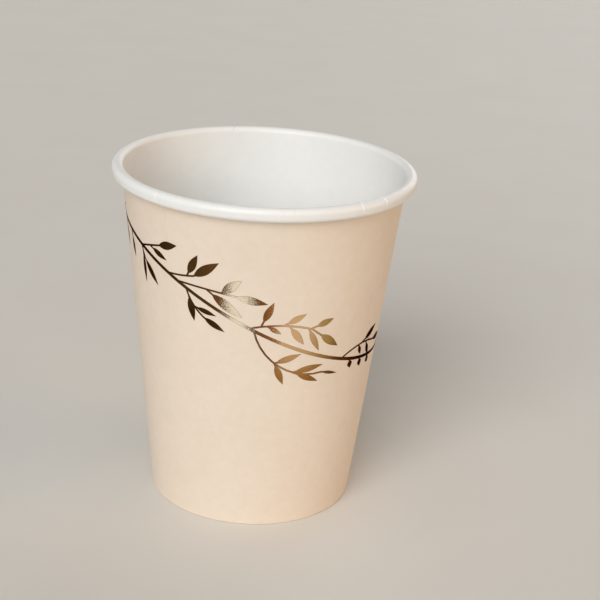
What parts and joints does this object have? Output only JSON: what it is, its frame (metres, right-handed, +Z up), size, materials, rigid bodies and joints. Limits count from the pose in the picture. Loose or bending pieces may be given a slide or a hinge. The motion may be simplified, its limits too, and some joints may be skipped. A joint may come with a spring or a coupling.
{
  "type": "paper cup",
  "caption": "Single-wall paper cup with a rolled rim, a leaning wall with a lap seam, a recessed base and a gold foil garland; it holds a hot drink.",
  "frame": {"origin": "middle of the base, on the surface that the cup stands on", "axes": "+Z up along the cup's axis, -Y towards the front that the picture shows, +X to the right seen from there"},
  "size_m": [0.08, 0.08, 0.092],
  "materials": {
    "wall_board": "matt blush paperboard, white and coated on the inside and over the rolled rim",
    "base_board": "white paperboard, coated on top and bare underneath",
    "gold_foil": "hot-stamped gold foil, bright"
  },
  "bodies": {
    "root": {"side_wall": "wall_board", "base_disc": "base_board", "foil_garland": "gold_foil"}
  },
  "joints": []
}
